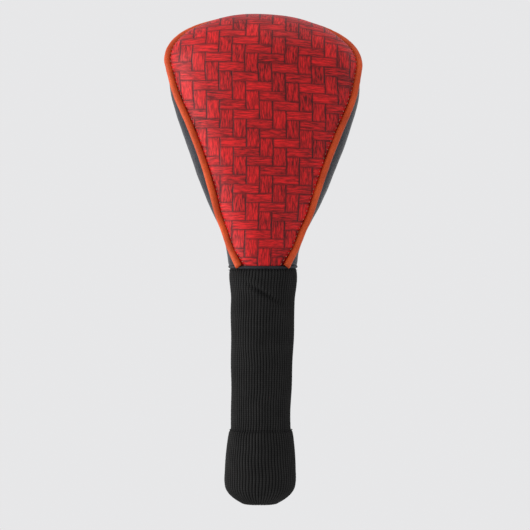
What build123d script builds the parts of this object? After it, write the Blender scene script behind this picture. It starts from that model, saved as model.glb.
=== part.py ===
"""Padded driver head cover with a ribbed knit sock.

Millimetres, +Z up along the cover: the sock's elastic mouth is at the origin,
the padded crown is at the top, and the printed front panel faces -Y.
"""

import os
from math import atan2, cos, pi, radians, sin

from build123d import *

# padded shell, measured up from the neck seam
NECK_Z = 166.0
DOME_BASE = 139.0
DOME_RISE = 36.6
DOME_STEPS = (14, 30, 46, 61, 74, 83)
LEAN_DEG = 2.4
SIDE_BOW = 2.8
BOW_SPAN = 170.0
# height, half width, half depth of the shell's outside
SECTIONS = [
    (0, 23.8, 23.6),
    (9, 24.4, 24.0),
    (20, 27.6, 25.8),
    (40, 37.1, 30.4),
    (66, 47.7, 36.0),
    (94, 57.9, 40.3),
    (118, 65.0, 42.7),
    (DOME_BASE, 66.9, 43.2),
]

# layers, as depths below the outside surface
SKIN = 1.2
FOAM_TOP = 1.3
FOAM_BOTTOM = 4.6
LINING_TOP = 4.7
LINING_BOTTOM = 6.2

# seams seen from the side, as (y, height above the neck)
FRONT_SEAM = [
    (-23, -12),
    (-17.5, 2),
    (-12.6, 13),
    (-13.0, 27),
    (-18, 50),
    (-21, 80),
    (-17.5, 113),
    (-5, 148),
    (16, 176),
    (26, 190),
]
BACK_SEAM = [(13, -12), (12.5, 14), (18, 49), (22, 80), (25, 113), (27, 148), (31, 176), (34, 190)]
SEAM_GAP = 0.05
PIPING_GAP = 2.15

PIPING_PROUD = 2.9
PIPING_DEPTH = 1.1
PIPING_HALF = 2.1
PIPING_COVER = 0.6
CORD_HALF = 1.5
THREAD_RADIUS = 0.3
THREAD_INSET = 3.0

# neck
BINDING_RING = 23.6
BINDING_RADIUS = 1.1
BINDING_DROP = 1.25
COLLAR_TOP = 163.5
COLLAR_BOTTOM = 137.0
KNIT = 1.8
ELASTIC_OUTER = 21.9
ELASTIC_THICK = 0.9
ELASTIC_WIDTH = 8.0

# sock and cuff
LEG_BOTTOM = 52.2
CUFF_TOP = 52.0
HEM_TOP = 50.0
MOUTH_RADIUS = 8.0
LIP_THICK = 1.6
LIP_HEIGHT = 6.0

LABEL = (0.5, 18.0, 24.0)


def bow(height):
    """Sideways shift of the shell's middle at a height above the neck."""
    return SIDE_BOW * sin(pi * height / BOW_SPAN)


def section_plane(height):
    lean = radians(LEAN_DEG * height / DOME_BASE)
    return Plane(
        origin=(bow(height), 0, NECK_Z + height),
        x_dir=(cos(lean), 0, -sin(lean)),
        z_dir=(sin(lean), 0, cos(lean)),
    )


def form(depth):
    """The whole padded shape, as a solid whose surface is this far below the outside."""
    rings = [section_plane(h) * Ellipse(a - depth, b - depth) for h, a, b in SECTIONS]
    height, a, b = SECTIONS[-1]
    base = section_plane(height)
    for angle in DOME_STEPS:
        level = Pos(0, 0, (DOME_RISE - depth) * sin(radians(angle)))
        rings.append(base * level * Ellipse((a - depth) * cos(radians(angle)), (b - depth) * cos(radians(angle))))
    crown = base * Pos(0, 0, DOME_RISE - depth)
    return loft([*rings, Vertex(*crown.position)])


def shifted(points, offset):
    """The seam's points moved square to the seam, towards -Y for a positive offset."""
    out = []
    for i, (y, z) in enumerate(points):
        y0, z0 = points[max(i - 1, 0)]
        y1, z1 = points[min(i + 1, len(points) - 1)]
        angle = atan2(z1 - z0, y1 - y0)
        out.append((y - offset * sin(angle), z + offset * cos(angle)))
    return out


def seam_line(points, offset):
    return Spline(*[(0, y, NECK_Z + z) for y, z in shifted(points, offset)])


def side_of(points, offset, reach):
    """Everything on one side of a seam, out to y = reach."""
    line = seam_line(points, offset)
    top = line @ 1
    bottom = line @ 0
    rim = Polyline(top, (0, reach, top.Z), (0, reach, bottom.Z), bottom)
    return extrude(make_face(line + rim), amount=100, dir=(1, 0, 0), both=True)


def largest(shape):
    return max(shape.solids(), key=lambda s: s.volume)


def welt(lift, depth, behind, ahead):
    """A band that follows the front seam over the crown, between two offsets square to the seam."""
    band = form(-lift) - form(depth)
    return (band & side_of(FRONT_SEAM, behind, -90)) - side_of(FRONT_SEAM, ahead, -90)


def turned(outline):
    """Solid of revolution about Z from a closed outline in X and Z."""
    return revolve(make_face(outline), Axis.Z)


def tube(outer, thick):
    """A knitted tube: its outside as (radius, height) points, and its thickness."""
    outside = Spline(*[(r, 0, z) for r, z in outer])
    inside = Spline(*[(r - thick, 0, z) for r, z in outer])
    ends = Line(outside @ 0, inside @ 0) + Line(outside @ 1, inside @ 1)
    return turned(outside + inside + ends)


def ring(radius, section, height):
    return Pos(0, 0, height) * Torus(radius, section)


outside = form(0)
under_skin = form(SKIN)
foam_outside = form(FOAM_TOP)
foam_inside = form(FOAM_BOTTOM)
lining_outside = form(LINING_TOP)
lining_inside = form(LINING_BOTTOM)

skin = outside - under_skin
foam = foam_outside - foam_inside
lining = lining_outside - lining_inside

in_front = side_of(FRONT_SEAM, SEAM_GAP, -90)
behind_front = side_of(FRONT_SEAM, -SEAM_GAP, 90)
front_of_back = side_of(BACK_SEAM, SEAM_GAP, -90)
at_back = side_of(BACK_SEAM, -SEAM_GAP, 90)

nodes = {}
nodes["front_panel"] = skin & side_of(FRONT_SEAM, PIPING_GAP, -90)
nodes["front_foam"] = foam & in_front
nodes["front_lining"] = lining & in_front
nodes["side_panel"] = skin & side_of(FRONT_SEAM, -PIPING_GAP, 90) & front_of_back
nodes["side_foam"] = foam & behind_front & front_of_back
nodes["side_lining"] = lining & behind_front & front_of_back
nodes["back_panel"] = skin & at_back
nodes["back_foam"] = foam & at_back
nodes["back_lining"] = lining & at_back

piping_cord = welt(PIPING_PROUD - PIPING_COVER, PIPING_DEPTH - PIPING_COVER, -CORD_HALF, CORD_HALF)
nodes["front_piping"] = welt(PIPING_PROUD, PIPING_DEPTH, -PIPING_HALF, PIPING_HALF) - piping_cord
nodes["piping_cord"] = piping_cord
nodes["piping_stitching"] = welt(0.7, -0.1, THREAD_INSET - THREAD_RADIUS, THREAD_INSET + THREAD_RADIUS)

nodes["neck_binding"] = ring(BINDING_RING, BINDING_RADIUS, NECK_Z - BINDING_DROP)
nodes["neck_stitching"] = ring(24.35, THREAD_RADIUS, 163.2)
nodes["neck_elastic"] = Pos(0, 0, COLLAR_TOP - ELASTIC_WIDTH / 2 - 0.5) * (
    Cylinder(ELASTIC_OUTER, ELASTIC_WIDTH) - Cylinder(ELASTIC_OUTER - ELASTIC_THICK, ELASTIC_WIDTH)
)
nodes["knit_collar"] = tube([(23.9, COLLAR_TOP), (23.8, 157), (22.4, COLLAR_BOTTOM + 0.05)], KNIT)
nodes["knit_leg"] = tube([(22.4, COLLAR_BOTTOM - 0.05), (22.1, 118), (21.0, 80), (20.8, LEG_BOTTOM)], KNIT)

cuff_outer = Spline((9.0, 0, 0), (17.4, 0, 4.2), (22.8, 0, 11), (24.6, 0, 20), (24.5, 0, 36), (22.9, 0, CUFF_TOP))
cuff_under = Spline(
    (MOUTH_RADIUS + LIP_THICK, 0, 2.0), (16.4, 0, 5.8), (21.3, 0, 12), (22.9, 0, 20), (22.8, 0, 36), (21.2, 0, CUFF_TOP)
)
lip = Polyline(
    cuff_under @ 0,
    (MOUTH_RADIUS + LIP_THICK, 0, LIP_HEIGHT),
    (MOUTH_RADIUS, 0, LIP_HEIGHT),
    (MOUTH_RADIUS, 0, 0),
    cuff_outer @ 0,
)
nodes["knit_cuff"] = turned(cuff_outer + Line(cuff_outer @ 1, cuff_under @ 1) + cuff_under + lip)
nodes["cuff_inner"] = tube([(9.9 + 1.4, 6.6), (16.4, 8.6), (20.0, 13.5), (21.4, 21), (21.3, 36), (20.9, HEM_TOP)], 1.4)
nodes["hem_elastic"] = ring(11.3, 1.1, 4.5)
nodes["hem_stitching"] = ring(21.4, THREAD_RADIUS, 52.6)
nodes["care_label"] = Pos(15.2, 0, NECK_Z + 8 + LABEL[2] / 2) * Box(*LABEL)

os.makedirs("parts", exist_ok=True)
for name, shape in nodes.items():
    export_step(largest(shape), f"parts/{name}.step")
    print(name, round(shape.volume), len(shape.solids()))
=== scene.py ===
"""Driver head cover: padded shell, piped seam and rib-knit sock, in the CAD frame (metres)."""
import math

import bmesh
import bpy
import numpy as np
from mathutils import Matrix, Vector, noise


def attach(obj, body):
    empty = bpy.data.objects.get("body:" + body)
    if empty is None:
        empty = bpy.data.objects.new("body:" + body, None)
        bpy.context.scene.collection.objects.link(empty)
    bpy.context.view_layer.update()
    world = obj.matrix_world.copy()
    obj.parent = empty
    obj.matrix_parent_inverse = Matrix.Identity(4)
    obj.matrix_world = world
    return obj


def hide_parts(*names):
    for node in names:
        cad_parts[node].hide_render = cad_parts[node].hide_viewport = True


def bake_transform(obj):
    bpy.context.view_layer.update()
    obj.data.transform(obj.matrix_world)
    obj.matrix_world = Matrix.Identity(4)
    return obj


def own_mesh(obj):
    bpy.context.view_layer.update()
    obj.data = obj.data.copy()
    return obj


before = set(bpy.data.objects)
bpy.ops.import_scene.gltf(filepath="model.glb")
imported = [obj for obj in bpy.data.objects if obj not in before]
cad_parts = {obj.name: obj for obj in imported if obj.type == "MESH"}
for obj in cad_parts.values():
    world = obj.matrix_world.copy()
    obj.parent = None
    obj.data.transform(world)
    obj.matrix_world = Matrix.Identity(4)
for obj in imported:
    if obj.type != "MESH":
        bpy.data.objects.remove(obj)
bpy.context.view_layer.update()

# Lengths are in millimetres and MM turns them into metres. Heights in SECTIONS (height, half width,
# half depth) and in the seams (depth, height) start at the neck.
MM = 0.001
NECK_Z = 166.0
DOME_BASE = 139.0
DOME_RISE = 36.6
LEAN = math.radians(2.4)
BOW = 2.8
BOW_LENGTH = 170
NECK_PULL = 1.2
NECK_PULL_FADE = 30
SECTIONS = np.array([(0, 23.8, 23.6), (9, 24.4, 24.0), (20, 27.6, 25.8), (40, 37.1, 30.4),
                     (66, 47.7, 36.0), (94, 57.9, 40.3), (118, 65.0, 42.7), (139, 66.9, 43.2)])
FRONT_SEAM = np.array([(-23, -12), (-17.5, 2), (-12.6, 13), (-13.0, 27), (-18, 50), (-21, 80),
                       (-17.5, 113), (-5, 148), (16, 176), (26, 190)])
BACK_SEAM = np.array([(13, -12), (12.5, 14), (18, 49), (22, 80), (25, 113), (27, 148), (31, 176),
                      (34, 190)])
CELL_W = 8.95
CELL_H = 6.35
RIBS = 66
COLLAR_TOP = 166.6
SPLIT_BEND = 137.0
SPLIT_SWAY = 111.0
CUFF_TOP = 52.0
STITCH_HEIGHT = 1.35
STITCH_DIP = 0.35
COVER_THICK = 3.6
FLEECE_DEPTH = 4.7
FLEECE_THICK = 1.4
PIPING_RADIUS = 2.4
SHARP_ANGLE = 1.35
PAD_SWELL = 0.45
PAD_PINCH, PINCH_WIDTH = 1.5, 2.6
NECK_PINCH, NECK_PINCH_WIDTH = 1.1, 2.2
PUCKER, PUCKER_WIDTH = 0.16, 5.0
NECK_SHIFT = 1.3
FOLD_Z, FOLD_SLOPE, FOLD_REACH = 148.0, 0.62, 11
FOLD = ((-2.1, 0.0, 1.6), (1.5, 4.2, 3.0), (0.45, -4.0, 2.6))  # height, offset, width of each ridge


# ---------------------------------------------------------------- shape of the shell
def smooth(x, xs, ys):
    """Hermite curve through the points, with slopes from their neighbours."""
    slopes = np.gradient(ys, xs)
    x = np.clip(x, xs[0], xs[-1])
    i = np.clip(np.searchsorted(xs, x) - 1, 0, len(xs) - 2)
    w = xs[i + 1] - xs[i]
    t = (x - xs[i]) / w
    return ((2 * t**3 - 3 * t**2 + 1) * ys[i] + (t**3 - 2 * t**2 + t) * w * slopes[i]
            + (3 * t**2 - 2 * t**3) * ys[i + 1] + (t**3 - t**2) * w * slopes[i + 1])


def radii(h, depth):
    """Half width and half depth of the shell at height h, at a depth below its outside."""
    low = np.minimum(h, DOME_BASE)
    top = np.clip((h - DOME_BASE) / (DOME_RISE - depth), 0, 1)
    share = np.sqrt(1 - top**2)
    a = (smooth(low, SECTIONS[:, 0], SECTIONS[:, 1]) - depth) * share
    b = (smooth(low, SECTIONS[:, 0], SECTIONS[:, 2]) - depth) * share
    return a, b


def place(x, y, h):
    """From the upright symmetric shape to its place, which leans a little."""
    low = np.minimum(h, DOME_BASE)
    lean = LEAN * low / DOME_BASE
    over = np.maximum(h - DOME_BASE, 0)
    px = (BOW * np.sin(np.pi * low / BOW_LENGTH) + NECK_PULL * np.exp(-low / NECK_PULL_FADE)
          + x * np.cos(lean) + over * np.sin(lean))
    pz = NECK_Z + low - x * np.sin(lean) + over * np.cos(lean)
    return np.stack([px, y, pz], -1)


def seam_y(points, h):
    """Depth coordinate of a seam at height h."""
    return smooth(h, points[:, 1], points[:, 0])


def half_patch(panel, depth, across, along):
    """Right half of a panel: rows run across from its first seam, columns up from the neck."""
    peak = DOME_BASE + DOME_RISE - max(depth, 0) - 0.02
    hs = np.linspace(100, peak, 6000)
    out = []
    for k in np.linspace(0, 1, across):
        def share(h):
            b = np.maximum(radii(h, depth)[1], 1e-6)
            front, back = seam_y(FRONT_SEAM, h) / b, seam_y(BACK_SEAM, h) / b
            if panel == "front":
                return (1 - k) * front - k
            if panel == "side":
                return (1 - k) * front + k * back
            return (1 - k) * back + k
        if panel == "back":
            reach = seam_y(BACK_SEAM, hs) / np.maximum(radii(hs, depth)[1], 1e-6)
        else:
            reach = share(hs)
        over = np.nonzero(reach >= 1)[0]
        peak_h = hs[over[0]] if len(over) else peak
        v = np.linspace(0, 1, along)
        h = peak_h * (1 - (1 - v)**1.8)
        q = np.clip(share(h), -1, 1)
        q[-1] = 1.0
        a, b = radii(h, depth)
        x = a * np.sqrt(np.maximum(1 - q**2, 0))
        out.append(np.stack([x, q * b, h], -1))
    return np.array(out)


def lump(p, size, seed):
    """Smooth unevenness of about the given size; the seed only shifts it."""
    return noise.noise(Vector((p[0] / size + seed, p[1] / size, p[2] / size)))


def arc_height():
    """Distance up the front of the shell from the neck, as a lookup by height."""
    h = np.linspace(0, DOME_BASE + DOME_RISE, 2000)
    b = radii(h, 0)[1]
    s = np.concatenate([[0], np.cumsum(np.hypot(np.diff(h), np.diff(b)))])
    return h, s


ARC_H, ARC_S = arc_height()


def print_height(points):
    """Distance up the printed cloth: by height on the front, turning to run back over the crown."""
    up = np.interp(points[..., 2], ARC_H, ARC_S)
    rise = np.clip((points[..., 2] - DOME_BASE) / DOME_RISE, 0, 1)
    angle = np.linspace(0, np.pi, 400)
    depth = SECTIONS[-1, 2]
    step = np.hypot(depth * np.sin(angle), DOME_RISE * np.cos(angle))
    arc = np.concatenate([[0], np.cumsum((step[1:] + step[:-1]) / 2 * np.diff(angle))])
    by_depth = np.arccos(np.clip(-points[..., 1] / depth, -1, 1))
    turned = np.arcsin(rise) * (1 - rise**3) + by_depth * rise**3
    over = np.interp(DOME_BASE, ARC_H, ARC_S) + np.interp(turned, angle, arc)
    return np.where(rise > 0, over, up)


# ---------------------------------------------------------------- mesh helpers
def make(name, verts, faces, material, uvs=None):
    """A smooth-shaded mesh object, with one UV for each vertex if given."""
    mesh = bpy.data.meshes.new(name)
    mesh.from_pydata([tuple(v) for v in verts], [], faces)
    if uvs is not None:
        layer = mesh.uv_layers.new(name="UVMap")
        loops = np.empty(len(mesh.loops), dtype=np.int32)
        mesh.loops.foreach_get("vertex_index", loops)
        layer.data.foreach_set("uv", np.asarray(uvs, dtype=np.float32)[loops].ravel())
    mesh.materials.append(material)
    mesh.polygons.foreach_set("use_smooth", [True] * len(mesh.polygons))
    obj = bpy.data.objects.new(name, mesh)
    bpy.context.scene.collection.objects.link(obj)
    return obj


def clean(obj, gap=1e-5, thick=None):
    """Merge doubles, turn the normals one way and, if asked, give the sheet a thickness."""
    bm = bmesh.new()
    bm.from_mesh(obj.data)
    bmesh.ops.remove_doubles(bm, verts=bm.verts, dist=gap)
    bmesh.ops.dissolve_degenerate(bm, edges=bm.edges, dist=1e-7)
    bmesh.ops.recalc_face_normals(bm, faces=bm.faces)
    bm.to_mesh(obj.data)
    bm.free()
    if thick:
        mod = obj.modifiers.new("Thickness", "SOLIDIFY")
        mod.thickness = thick
        mod.offset = -1
        apply_modifiers(obj)
    return obj


def apply_modifiers(obj):
    """Bake the modifiers into the mesh and mark only its real corners as sharp."""
    bpy.context.view_layer.update()
    graph = bpy.context.evaluated_depsgraph_get()
    mesh = bpy.data.meshes.new_from_object(obj.evaluated_get(graph), preserve_all_data_layers=True,
                                           depsgraph=graph)
    obj.modifiers.clear()
    obj.data = mesh
    bm = bmesh.new()
    bm.from_mesh(mesh)
    for face in bm.faces:
        face.smooth = True
    for edge in bm.edges:
        edge.smooth = edge.calc_face_angle(0) < SHARP_ANGLE
    bm.to_mesh(mesh)
    bm.free()


def grid_faces(rows, cols, wrap=False, start=0, flip=False):
    """Quads over a grid of vertices, closed round its columns if wrap is set."""
    faces = []
    for i in range(rows - 1):
        for j in range(cols if wrap else cols - 1):
            n = (j + 1) % cols
            quad = (start + i * cols + j, start + i * cols + n,
                    start + (i + 1) * cols + n, start + (i + 1) * cols + j)
            faces.append(quad[::-1] if flip else quad)
    return faces


def shell_piece(name, panel, depth, thick, across, along, material, padded=False):
    """A whole panel from its two mirrored halves, pinched at its seams, with thickness."""
    half = half_patch(panel, depth, across, along)
    steps = np.linalg.norm(np.diff(half, axis=0), axis=-1)
    from_first = np.concatenate([np.zeros((1, along)), np.cumsum(steps, 0)])
    near = from_first
    if panel == "side":
        near = np.minimum(from_first, from_first[-1] - from_first + 1.2)
    verts, uvs, faces = [], [], []
    for sign in (1, -1):
        points = half * np.array([sign, 1, 1])
        world = place(points[..., 0], points[..., 1], points[..., 2])
        middle = np.stack([0 * points[..., 0], 0 * points[..., 1],
                           NECK_Z + np.minimum(points[..., 2], DOME_BASE - 30)], -1)
        out = world - middle
        out[..., 2] *= np.clip((points[..., 2] - 90) / 60, 0.1, 1.6)
        out /= np.linalg.norm(out, axis=-1, keepdims=True)
        push = np.zeros(near.shape)
        if padded:
            push += PAD_SWELL - PAD_PINCH * np.exp(-near / PINCH_WIDTH)
            push -= NECK_PINCH * np.exp(-points[..., 2] / NECK_PINCH_WIDTH)
            for i in range(across):
                for j in range(along):
                    w = world[i, j]
                    push[i, j] += 0.55 * lump(w, 26, 3) + 0.22 * lump(w, 9, 11)
            seam_wave = np.sin(world[..., 2] * 0.62 + 1.5 * np.sin(world[..., 2] * 0.13))
            push += PUCKER * seam_wave * np.exp(-near / PUCKER_WIDTH)
        moved = (world + out * push[..., None]) * MM
        start = len(verts)
        verts.extend(moved.reshape(-1, 3))
        if panel == "front":
            uv = np.stack([points[..., 0] / CELL_W + 0.4, print_height(points) / CELL_H], -1)
        else:
            uv = np.stack([from_first * sign / 10, points[..., 2] / 10], -1)
        uvs.extend(uv.reshape(-1, 2))
        faces += grid_faces(across, along, start=start, flip=sign < 0)
    obj = make(name, verts, faces, material, uvs)
    clean(obj)
    outward(obj)
    return clean(obj, thick=thick * MM)


def outward(obj):
    """Turn the normals of an open sheet away from the middle of the shell."""
    mesh = obj.data
    centre = Vector((0, 0, 0.28))
    total = sum((p.center - centre).dot(p.normal) * p.area
                for p in mesh.polygons if p.center.z > 0.22)
    if total < 0:
        mesh.flip_normals()


def seam_points(panel, depth, inset, along):
    """Points along a seam from the left of the neck over the crown to the right, in mm."""
    half = half_patch(panel, depth, 40, along)
    steps = np.linalg.norm(np.diff(half, axis=0), axis=-1)
    gone = np.concatenate([np.zeros((1, along)), np.cumsum(steps, 0)])
    line = np.array([[np.interp(inset, gone[:, j], half[:, j, c]) for c in range(3)]
                     for j in range(along)])
    left = line * np.array([-1, 1, 1])
    both = np.concatenate([left, line[::-1][1:]])
    return place(both[:, 0], both[:, 1], both[:, 2])


def lengths(points):
    """Distance along a line to each of its points."""
    return np.concatenate([[0], np.cumsum(np.linalg.norm(np.diff(points, axis=0), axis=1))])


def even(points, step):
    """The same line with its points spaced evenly, about step apart."""
    gone = lengths(points)
    count = max(int(gone[-1] / step), 2)
    at = np.linspace(0, gone[-1], count + 1)
    return np.stack([np.interp(at, gone, points[:, c]) for c in range(3)], -1)


def frames(points, closed=False):
    """Tangent, outward and side directions along a line on the object."""
    if closed:
        tangent = np.roll(points, -1, 0) - np.roll(points, 1, 0)
    else:
        tangent = np.gradient(points, axis=0)
    tangent /= np.linalg.norm(tangent, axis=1, keepdims=True)
    middle = np.stack([points[:, 0] * 0, points[:, 1] * 0,
                       np.minimum(points[:, 2], NECK_Z + 105)], -1)
    out = points - middle
    out -= tangent * np.sum(out * tangent, 1, keepdims=True)
    out /= np.linalg.norm(out, axis=1, keepdims=True)
    return tangent, out, np.cross(tangent, out)


def rope(name, points, radius, material, sides=16, closed=False, wobble=0.0):
    """A round cord along a line, as a closed mesh, its UV in millimetres."""
    _, out, side = frames(points, closed)
    angles = np.linspace(0, 2 * np.pi, sides, endpoint=False)
    verts, uvs = [], []
    gone = lengths(points)
    for i, p in enumerate(points):
        r = radius * (1 + wobble * lump(p, 4.0, 7))
        for angle in angles:
            verts.append((p + r * (out[i] * math.cos(angle) + side[i] * math.sin(angle))) * MM)
            uvs.append((gone[i], angle * radius))
    rows = len(points)
    faces = grid_faces(rows, sides, wrap=True)
    if closed:
        last = (rows - 1) * sides
        faces += [(last + j, last + (j + 1) % sides, (j + 1) % sides, j) for j in range(sides)]
    else:
        faces.append(tuple(range(sides)))
        faces.append(tuple(range((rows - 1) * sides, rows * sides))[::-1])
    return clean(make(name, verts, faces, material, uvs), gap=1e-7)


def stitches(name, points, length, gap, radius, material):
    """A row of separate stitches, each a short bowed thread whose ends dip into the cloth."""
    line = even(points, 0.4)
    _, out, side = frames(line)
    per = max(int((length + gap) / 0.4), 4)
    used = max(int(length / 0.4), 3)
    verts, faces = [], []
    for first in range(0, len(line) - used, per):
        start = len(verts)
        rings = range(first, first + used + 1)
        for n, i in enumerate(rings):
            t = n / used
            bowed = line[i] + out[i] * (radius * 0.8 - STITCH_DIP * (2 * t - 1)**4)
            r = radius * (1 - 0.55 * (2 * t - 1)**4)
            for angle in np.linspace(0, 2 * np.pi, 6, endpoint=False):
                spoke = out[i] * math.cos(angle) + side[i] * math.sin(angle)
                verts.append((bowed + r * spoke) * MM)
        faces += grid_faces(used + 1, 6, wrap=True, start=start)
        faces.append(tuple(range(start, start + 6)))
        faces.append(tuple(range(start + used * 6, start + used * 6 + 6))[::-1])
    return clean(make(name, verts, faces, material), gap=1e-7)


# ---------------------------------------------------------------- materials
class Nodes:
    """Short names for the shader nodes of one material."""

    def __init__(self, name):
        self.mat = bpy.data.materials.new(name)
        self.mat.use_nodes = True
        self.tree = self.mat.node_tree
        self.bsdf = self.tree.nodes["Principled BSDF"]

    def add(self, kind, **settings):
        node = self.tree.nodes.new(kind)
        for key, value in settings.items():
            setattr(node, key, value)
        return node

    def put(self, socket, value):
        if isinstance(value, bpy.types.NodeSocket):
            self.tree.links.new(value, socket)
        else:
            socket.default_value = value

    def math(self, op, a, b=0.0, c=0.0):
        node = self.tree.nodes.new("ShaderNodeMath")
        node.operation = op
        for socket, value in zip(node.inputs, (a, b, c)):
            self.put(socket, value)
        return node.outputs[0]

    def vector(self, x, y, z=0.0):
        node = self.tree.nodes.new("ShaderNodeCombineXYZ")
        for socket, value in zip(node.inputs, (x, y, z)):
            self.put(socket, value)
        return node.outputs[0]

    def noise(self, vector, scale, detail=3.0, rough=0.55):
        node = self.tree.nodes.new("ShaderNodeTexNoise")
        self.put(node.inputs["Vector"], vector)
        node.inputs["Scale"].default_value = scale
        node.inputs["Detail"].default_value = detail
        node.inputs["Roughness"].default_value = rough
        return node.outputs["Fac"]

    def spread(self, value, low, high, to_low=0.0, to_high=1.0):
        node = self.tree.nodes.new("ShaderNodeMapRange")
        for socket, v in zip(node.inputs, (value, low, high, to_low, to_high)):
            self.put(socket, v)
        return node.outputs[0]

    def mix(self, share, a, b):
        node = self.tree.nodes.new("ShaderNodeMix")
        node.data_type = "RGBA"
        self.put(node.inputs[0], share)
        self.put(node.inputs[6], a)
        self.put(node.inputs[7], b)
        return node.outputs[2]

    def bump(self, height, distance, strength=1.0, under=None):
        node = self.tree.nodes.new("ShaderNodeBump")
        self.put(node.inputs["Height"], height)
        node.inputs["Distance"].default_value = distance
        node.inputs["Strength"].default_value = strength
        if under is not None:
            self.put(node.inputs["Normal"], under)
        return node.outputs[0]

    def uv(self):
        node = self.tree.nodes.new("ShaderNodeUVMap")
        node.uv_map = "UVMap"
        split = self.tree.nodes.new("ShaderNodeSeparateXYZ")
        self.tree.links.new(node.outputs[0], split.inputs[0])
        return split.outputs[0], split.outputs[1]

    def where(self):
        return self.tree.nodes.new("ShaderNodeTexCoord").outputs["Object"]

    def end(self, color=None, roughness=None, normal=None, **plain):
        for name, value in (("Base Color", color), ("Roughness", roughness), ("Normal", normal)):
            if value is not None:
                self.put(self.bsdf.inputs[name], value)
        for key, value in plain.items():
            self.bsdf.inputs[key.replace("_", " ")].default_value = value
        return self.mat


def printed_leather():
    """Red basket-weave print: strips two cells long, upright and lying, with grain along each."""
    n = Nodes("printed_leather")
    u0, v0 = n.uv()
    wobble = n.noise(n.where(), 160.0, 2.0)
    u = n.math("MULTIPLY_ADD", n.math("SUBTRACT", wobble, 0.5), 0.10, u0)
    v = n.math("MULTIPLY_ADD", n.math("SUBTRACT", wobble, 0.5), 0.10, v0)
    col, row = n.math("FLOOR", u), n.math("FLOOR", v)
    fu, fv = n.math("FRACT", u), n.math("FRACT", v)
    phase = n.math("FLOORED_MODULO", n.math("ADD", col, row), 4.0)
    flat = n.math("GREATER_THAN", phase, 1.5)
    upright = n.math("SUBTRACT", 1.0, flat)
    second = n.math("SUBTRACT", phase, n.math("MULTIPLY", flat, 2.0))
    block_c = n.math("SUBTRACT", col, n.math("MULTIPLY", flat, second))
    block_r = n.math("SUBTRACT", row, n.math("MULTIPLY", upright, second))
    lu = n.math("SUBTRACT", u, block_c)
    lv = n.math("SUBTRACT", v, block_r)
    wide = n.math("ADD", 1.0, flat)
    tall = n.math("ADD", 1.0, upright)
    dx = n.math("MULTIPLY", n.math("MINIMUM", lu, n.math("SUBTRACT", wide, lu)), CELL_W)
    dy = n.math("MULTIPLY", n.math("MINIMUM", lv, n.math("SUBTRACT", tall, lv)), CELL_H)
    white = n.add("ShaderNodeTexWhiteNoise")
    n.put(white.inputs["Vector"], n.vector(block_c, block_r, 0.5))
    tone = white.outputs["Value"]
    along_v = n.vector(n.math("MULTIPLY", u, 7.0), n.math("MULTIPLY", v, 0.7),
                       n.math("MULTIPLY", tone, 9.0))
    along_u = n.vector(n.math("MULTIPLY", u, 0.8), n.math("MULTIPLY", v, 5.0),
                       n.math("MULTIPLY", tone, 9.0))
    pick = n.tree.nodes.new("ShaderNodeMix")
    pick.data_type = "VECTOR"
    n.put(pick.inputs[0], flat)
    n.put(pick.inputs[4], along_v)
    n.put(pick.inputs[5], along_u)
    grain = n.noise(pick.outputs[1], 1.6, 6.0, 0.65)
    streak = n.spread(grain, 0.40, 0.60)
    blotch = n.noise(n.where(), 55.0, 3.0)
    light = n.math("ADD", n.math("MULTIPLY", streak, 0.72), n.math("MULTIPLY", tone, 0.26))
    light = n.math("ADD", light, n.math("MULTIPLY", n.math("SUBTRACT", blotch, 0.5), 0.5))
    light = n.math("MULTIPLY", light, n.spread(n.math("MINIMUM", dx, dy), 0.1, 1.5, 0.45, 1.0))
    red = n.mix(light, (0.085, 0.002, 0.003, 1), (0.70, 0.009, 0.011, 1))
    edge_x = n.spread(dx, 0.16, 0.55, 1.0, 0.0)
    edge_y = n.spread(dy, 0.05, 0.30, 0.75, 0.0)
    edge = n.math("MAXIMUM", edge_x, edge_y)
    edge = n.math("MULTIPLY", edge, n.spread(wobble, 0.3, 0.6, 0.6, 1.0))
    color = n.mix(edge, red, (0.030, 0.004, 0.005, 1))
    cloth = n.noise(n.where(), 1400.0, 3.0)
    relief = n.math("ADD", n.math("MULTIPLY", cloth, 0.25), n.math("MULTIPLY", grain, 0.45))
    relief = n.math("SUBTRACT", relief, n.math("MULTIPLY", edge, 0.8))
    rough = n.spread(grain, 0.3, 0.7, 0.62, 0.48)
    return n.end(color, rough, n.bump(relief, 0.00022, 0.7), Specular_IOR_Level=0.22)


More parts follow.
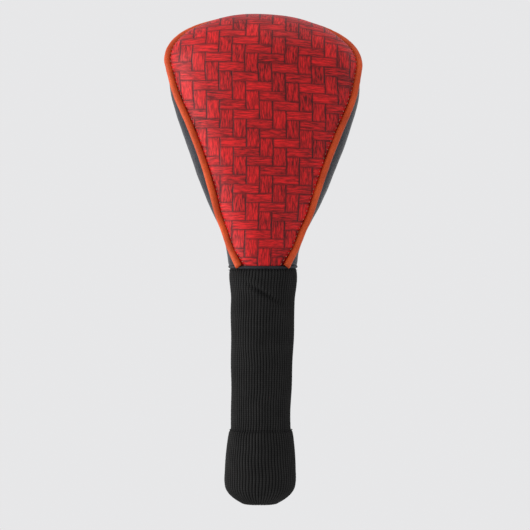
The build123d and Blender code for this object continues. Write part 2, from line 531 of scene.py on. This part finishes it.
def leather(name, dark, light, rough_low, rough_high, pebble=750.0, depth=0.00025):
    """Grained synthetic leather: pebbles with fine creases between, the creases painted darker as
    shade so the high spots read lighter.
    """
    n = Nodes(name)
    at = n.where()
    cells = n.add("ShaderNodeTexVoronoi", feature="DISTANCE_TO_EDGE")
    warp = n.add("ShaderNodeVectorMath", operation="ADD")
    n.put(warp.inputs[0], at)
    shift = n.add("ShaderNodeVectorMath", operation="SCALE")
    colored = n.add("ShaderNodeTexNoise")
    n.put(colored.inputs["Vector"], at)
    colored.inputs["Scale"].default_value = 900.0
    n.put(shift.inputs[0], colored.outputs["Color"])
    shift.inputs["Scale"].default_value = 0.0008
    n.put(warp.inputs[1], shift.outputs[0])
    n.put(cells.inputs["Vector"], warp.outputs[0])
    cells.inputs["Scale"].default_value = pebble
    crease = n.spread(cells.outputs["Distance"], 0.0, 0.16)
    fine = n.noise(at, 2600.0, 3.0)
    broad = n.noise(at, 60.0, 4.0)
    relief = n.math("ADD", n.math("MULTIPLY", crease, 0.7), n.math("MULTIPLY", fine, 0.35))
    color = n.mix(n.spread(broad, 0.3, 0.7), dark, light)
    # Painted shade: the colour darkens towards each pebble's edge, in the creases between pebbles;
    # the broad noise above is random tone.
    color = n.mix(n.math("MULTIPLY", n.math("SUBTRACT", 1.0, crease), 0.5), color,
                  tuple(c * 0.4 for c in dark[:3]) + (1,))
    rough = n.spread(n.math("ADD", n.math("MULTIPLY", broad, 0.6), n.math("MULTIPLY", fine, 0.4)),
                     0.3, 0.7, rough_low, rough_high)
    normal = n.bump(relief, depth, 0.8, n.bump(broad, 0.0006, 0.5))
    return n.end(color, rough, normal, Coat_Weight=0.04, Coat_Roughness=0.3,
                 Specular_IOR_Level=0.14)


def knit(name, dark, light):
    """Rib knit: V-shaped stitches up each rib, with fuzz; its colour is painted shade, lighter on the
    loops and rib crests, darker between loops and in the grooves between ribs. UV is in ribs and
    stitches.
    """
    n = Nodes(name)
    u, v = n.uv()
    fu = n.math("ABSOLUTE", n.math("SUBTRACT", n.math("FRACT", u), 0.5))
    chev = n.math("FRACT", n.math("ADD", v, n.math("MULTIPLY", fu, 1.3)))
    loop = n.math("SINE", n.math("MULTIPLY", chev, math.pi))
    split = n.spread(fu, 0.0, 0.07)
    stitch = n.math("MULTIPLY", loop, split)
    fuzz = n.noise(n.where(), 1900.0, 4.0, 0.7)
    yarn = n.noise(n.vector(n.math("MULTIPLY", u, 5.0), n.math("MULTIPLY", v, 0.9)), 2.2, 3.0)
    broad = n.noise(n.where(), 90.0, 3.0)
    # Painted shade: darker from each rib's crest down into the groove between ribs.
    painted_groove_shade = n.spread(fu, 0.18, 0.5, 1.0, 0.12)
    # Painted shade: the colour follows the stitch loops, lighter on each loop and darker between
    # them; the fuzz and broad noise are random tone.
    tone = n.math("MULTIPLY", n.math("ADD", n.math("MULTIPLY", stitch, 0.75),
                                     n.math("MULTIPLY", fuzz, 0.35)), painted_groove_shade)
    tone = n.math("MULTIPLY", tone, n.spread(broad, 0.25, 0.75, 0.75, 1.2))
    color = n.mix(tone, dark, light)
    relief = n.math("ADD", n.math("MULTIPLY", stitch, 0.9),
                    n.math("ADD", n.math("MULTIPLY", fuzz, 0.35), n.math("MULTIPLY", yarn, 0.25)))
    return n.end(color, n.spread(fuzz, 0.3, 0.7, 0.78, 0.95), n.bump(relief, 0.0002, 0.6),
                 Specular_IOR_Level=0.08)


def woven(name, dark, light, scale, rough=0.85, sheen=0.2):
    """Plain fibre cloth or thread: two crossing waves with fuzz over them; its colour follows that
    relief, partly random fibre tone from the fuzz, partly painted shade in the hollows of the weave.
    """
    n = Nodes(name)
    at = n.where()
    waves = []
    for direction in ("X", "Z"):
        wave = n.add("ShaderNodeTexWave", bands_direction=direction)
        n.put(wave.inputs["Vector"], at)
        wave.inputs["Scale"].default_value = scale
        wave.inputs["Distortion"].default_value = 1.2
        waves.append(wave.outputs["Fac"])
    fuzz = n.noise(at, scale * 3, 4.0, 0.7)
    weave = n.math("MULTIPLY", waves[0], waves[1])
    relief = n.math("ADD", n.math("MULTIPLY", weave, 0.6), n.math("MULTIPLY", fuzz, 0.6))
    # Partly painted shade: the colour is darker where the weave relief is low and lighter where it is
    # high; the fuzz adds random tone.
    return n.end(n.mix(relief, dark, light),
                 n.spread(fuzz, 0.3, 0.7, rough - 0.08, min(rough + 0.08, 1.0)),
                 n.bump(relief, 0.0003, 0.8), Sheen_Weight=sheen, Sheen_Roughness=0.5,
                 Specular_IOR_Level=0.15)


RED = printed_leather()
BLACK = leather("black_leather", (0.010, 0.011, 0.016, 1), (0.022, 0.023, 0.032, 1), 0.28, 0.40)
ORANGE = leather("orange_piping", (0.46, 0.052, 0.011, 1), (0.70, 0.098, 0.022, 1), 0.38, 0.55,
                 1100.0, 0.00012)
BINDING = leather("black_binding", (0.010, 0.010, 0.013, 1), (0.024, 0.024, 0.03, 1), 0.4, 0.55,
                  1100.0, 0.00012)
KNIT = knit("rib_knit", (0.003, 0.003, 0.003, 1), (0.030, 0.0295, 0.029, 1))
FLEECE = woven("fleece", (0.012, 0.012, 0.014, 1), (0.06, 0.06, 0.065, 1), 420.0, 0.9, 0.6)
ELASTIC = woven("elastic", (0.01, 0.01, 0.01, 1), (0.05, 0.05, 0.05, 1), 500.0)
PALE_THREAD = woven("pale_thread", (0.35, 0.14, 0.09, 1), (0.62, 0.34, 0.24, 1), 1500.0, 0.7)
BLACK_THREAD = woven("black_thread", (0.003, 0.003, 0.003, 1), (0.014, 0.014, 0.016, 1),
                     1500.0, 0.85, 0.0)
SATIN = woven("label_satin", (0.62, 0.62, 0.60, 1), (0.85, 0.85, 0.83, 1), 900.0, 0.5)

# ---------------------------------------------------------------- shell
ACROSS = {"front": 76, "side": 46, "back": 60}
for panel, material, slot in (("front", RED, "printed_leather"), ("side", BLACK, "black_leather"),
                              ("back", BLACK, "black_leather")):
    cover = shell_piece(panel + "_cover", panel, 0.0, COVER_THICK, ACROSS[panel], 190, material,
                        padded=True)
    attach(cover, "shell")
    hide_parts(panel + "_panel", panel + "_foam")
    inner = shell_piece(panel + "_fleece", panel, FLEECE_DEPTH, FLEECE_THICK, 26, 80, FLEECE)
    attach(inner, "shell")
    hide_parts(panel + "_lining")

seam = even(seam_points("front", -1.0, 0.0, 150), 0.9)
piping = rope("seam_piping", seam, PIPING_RADIUS, ORANGE, sides=20, wobble=0.05)
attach(piping, "shell")
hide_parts("front_piping", "piping_cord")
front_cover = bpy.data.objects["front_cover"]
track = even(seam_points("front", 0.0, 3.4, 150), 0.8)
on_cover = [front_cover.closest_point_on_mesh(Vector(p) * MM) for p in track]
track = np.array([np.array(hit[1] + hit[2] * 0.00005) / MM for hit in on_cover])
dots = stitches("piping_stitches", track, 1.2, 2.4, 0.2, PALE_THREAD)
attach(dots, "shell")
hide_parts("piping_stitching")

turn = np.linspace(0, 2 * np.pi, 240, endpoint=False)


def ring(radius, z, shift=0.0):
    """A level circle about the sock's axis."""
    return np.stack([radius * np.cos(turn) + shift, radius * np.sin(turn), z + 0 * turn], -1)


ring_line = np.stack([23.1 * np.cos(turn) + NECK_SHIFT, 22.9 * np.sin(turn),
                      NECK_Z - 0.7 + 0.6 * np.abs(np.cos(turn))**3], -1)
roll = rope("neck_roll", ring_line, 1.1, BINDING, sides=14, closed=True, wobble=0.12)
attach(roll, "shell")
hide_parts("neck_binding")
thread = stitches("neck_stitches", ring(23.5, NECK_Z - 2.5, NECK_SHIFT), 2.4, 1.2, 0.28, BLACK_THREAD)
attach(thread, "shell")
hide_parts("neck_stitching")


# ---------------------------------------------------------------- knit
OUTSIDE = np.array([(52.0, 20.9), (60, 20.8), (85, 21.2), (118, 22.0), (135, 22.3), (145, 22.4),
                    (152, 23.2), (158, 23.7), (162.5, 23.5), (166.6, 22.4)])


def sock_shift(z):
    """Sideways shift of the sock's axis at height z."""
    return 1.4 * np.clip((z - 60) / 100, -0.6, 1.1)


def ribbed(name, path, material, rib=0.85, thick=1.1, wrinkled=True):
    """A ribbed knit surface turned about the sock's axis; path holds (radius, z) up the ribs."""
    per = 8
    cols = RIBS * per
    theta = np.linspace(0, 2 * np.pi, cols, endpoint=False)
    gone = lengths(path)
    tangent = np.gradient(path, axis=0)
    tangent /= np.linalg.norm(tangent, axis=1, keepdims=True)
    normal = np.stack([tangent[:, 1], -tangent[:, 0]], -1)
    wave = np.abs(np.sin(theta * RIBS / 2))**0.8
    verts, uvs = [], []
    for i, (r, z) in enumerate(path):
        size = rib * min(1.0, r / 21.0)
        drift = 0.014 * math.sin(z * 0.09) + 0.03 * noise.noise(Vector((z / 13, 2.0, 0)))
        lift = size * (wave - 1)
        lift = lift + 0.04 * np.sin(gone[i] * 2 * math.pi / 1.5 + (theta * RIBS / 2)) * wave
        if wrinkled:
            x = 22 * np.cos(theta)
            facing = np.clip(-np.sin(theta) * 1.6, 0, 1)
            across = (z - FOLD_Z) + FOLD_SLOPE * (x + 0.5)
            near = np.exp(-((x - 0.5) / FOLD_REACH)**2) * facing
            for height, offset, width in FOLD:
                lift = lift + height * near * np.exp(-((across - offset) / width)**2)
            lift = lift + 0.35 * np.sin(theta * 3 + z * 0.07) * np.sin(z * 0.11 + 1)
        rr = r + normal[i, 0] * lift
        zz = z + normal[i, 1] * lift
        ang = theta + drift
        cx = float(sock_shift(z))
        verts.append(np.stack([rr * np.cos(ang) + cx, rr * np.sin(ang), zz], -1) * MM)
        uvs.append(np.stack([theta * RIBS / (2 * np.pi), gone[i] / STITCH_HEIGHT + 0 * theta], -1))
    faces = grid_faces(len(path), cols, wrap=True)
    obj = make(name, np.concatenate(verts), faces, material)
    layer = obj.data.uv_layers.new(name="UVMap")
    loops = np.empty(len(obj.data.loops), dtype=np.int32)
    obj.data.loops.foreach_get("vertex_index", loops)
    flat = np.concatenate(uvs)[loops].reshape(-1, 4, 2)
    low, high = flat[..., 0].min(1), flat[..., 0].max(1)
    jump = (high - low) > RIBS / 2
    around = flat[jump, :, 0]
    flat[jump, :, 0] = np.where(around < RIBS / 2, around + RIBS, around)
    layer.data.foreach_set("uv", flat.astype(np.float32).ravel())
    mod = obj.modifiers.new("Thickness", "SOLIDIFY")
    mod.thickness = thick * MM
    mod.offset = -1
    apply_modifiers(obj)
    return obj


def sock_path(low, high):
    """The sock's outside from one height to another, in steps of about 1 mm."""
    count = int(round(high - low)) + 1
    z = np.linspace(low, high, count)
    return np.stack([smooth(z, OUTSIDE[:, 0], OUTSIDE[:, 1]), z], -1)


def dense(points, step):
    """A smooth path through a few (radius, z) points."""
    points = np.array(points, dtype=float)
    gone = lengths(points)
    at = np.linspace(0, gone[-1], max(int(gone[-1] / step), 2))
    return np.stack([smooth(at, gone, points[:, 0]), smooth(at, gone, points[:, 1])], -1)


collar = ribbed("knit_collar_cover", sock_path(SPLIT_BEND, COLLAR_TOP), KNIT)
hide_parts("knit_collar")
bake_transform(collar)

upper = ribbed("knit_upper_leg", sock_path(SPLIT_SWAY, SPLIT_BEND), KNIT)
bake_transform(upper)

leg = ribbed("knit_lower_leg", sock_path(CUFF_TOP, SPLIT_SWAY), KNIT)
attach(leg, "sock")
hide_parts("knit_leg")
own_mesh(leg)

cuff_path = dense([(8.4, 6.0), (8.3, 3.2), (8.9, 1.0), (11.0, 0.4), (14.6, 2.0), (18.6, 4.6),
                   (22.0, 7.8), (24.1, 11.3), (24.9, 15.5), (24.8, 24.0), (24.3, 34.0),
                   (23.4, 43.0), (22.6, 48.6), (22.0, 51.0), (21.0, 52.2)], 0.9)
cuff = ribbed("knit_cuff_cover", cuff_path, KNIT, rib=0.95, thick=1.2, wrinkled=False)
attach(cuff, "cuff")
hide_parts("knit_cuff")
hem_path = dense([(11.4, 6.6), (16.4, 8.6), (20.0, 13.5), (21.3, 21), (21.2, 36), (20.6, 46),
                  (20.2, 50)], 1.0)
hem = ribbed("turned_hem", hem_path, KNIT, rib=0.5, thick=0.9, wrinkled=False)
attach(hem, "cuff")
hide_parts("cuff_inner")
hem_thread = stitches("hem_stitches", ring(21.6, 52.1), 1.6, 1.0, 0.25, BLACK_THREAD)
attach(hem_thread, "cuff")
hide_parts("hem_stitching")
mouth = rope("mouth_elastic", ring(11.3, 4.5), 1.0, ELASTIC, sides=10, closed=True, wobble=0.1)
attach(mouth, "cuff")
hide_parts("hem_elastic")

band_path = dense([(21.0, 155.2), (21.05, 158.0), (21.0, 160.0), (20.9, 162.8)], 0.5)
band = ribbed("neck_band", band_path, ELASTIC, rib=0.25, thick=0.7, wrinkled=False)
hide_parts("neck_elastic")
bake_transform(band)

rows, cols = 30, 22
tag = []
for i in range(rows):
    for j in range(cols):
        s, t = i / (rows - 1), j / (cols - 1)
        curl = 0.5 * math.sin(s * 2.2) * (1 - s) + 0.25 * math.sin(t * math.pi) * (1 - s)
        tag.append(((15.2 - curl) * MM, (-9 + 18 * t) * MM, (NECK_Z + 8.2 + 23.6 * s) * MM))
label = clean(make("blank_label", tag, grid_faces(rows, cols), SATIN), thick=0.3 * MM)
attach(label, "shell")
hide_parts("care_label")

# ---------------------------------------------------------------- floor, light, camera
bpy.ops.mesh.primitive_plane_add(size=4.0, location=(0, 0, -0.36))
floor = bpy.context.object
floor.name = "floor"
paper = Nodes("floor_paper")
paper_tone = paper.noise(paper.where(), 300.0, 2.0)
paper_color = paper.mix(paper_tone, (0.82, 0.82, 0.825, 1), (0.85, 0.85, 0.855, 1))
floor.data.materials.append(paper.end(paper_color, 0.9))

LIGHT_TARGET = Vector((0, 0, 0.2))
world = bpy.data.worlds.new("studio")
bpy.context.scene.world = world
world.use_nodes = True
world.node_tree.nodes["Background"].inputs[0].default_value = (0.80, 0.80, 0.81, 1)
world.node_tree.nodes["Background"].inputs[1].default_value = 1.0


def softbox(name, where, size, power):
    """A rectangular area light turned towards the middle of the cover."""
    data = bpy.data.lights.new(name, "AREA")
    data.shape = "RECTANGLE"
    data.size, data.size_y = size
    data.energy = power
    light = bpy.data.objects.new(name, data)
    light.location = where
    light.rotation_euler = (LIGHT_TARGET - Vector(where)).to_track_quat("-Z", "Y").to_euler()
    bpy.context.scene.collection.objects.link(light)


softbox("key_left", (-0.95, -0.95, 0.75), (0.7, 0.9), 3)
softbox("strip_left", (-1.15, -0.05, 0.3), (0.35, 1.1), 12)
softbox("top", (0.1, -0.2, 1.3), (0.8, 0.8), 2)

bpy.context.scene.view_settings.view_transform = "Standard"

camera_data = bpy.data.cameras.new("camera")
camera_data.lens = 147.9
camera_data.sensor_width = 36.0
camera = bpy.data.objects.new("camera", camera_data)
camera.location = (0.0028, -1.52, 0.167)
camera.rotation_euler = (math.radians(90), 0, 0)
bpy.context.scene.collection.objects.link(camera)
bpy.context.scene.camera = camera
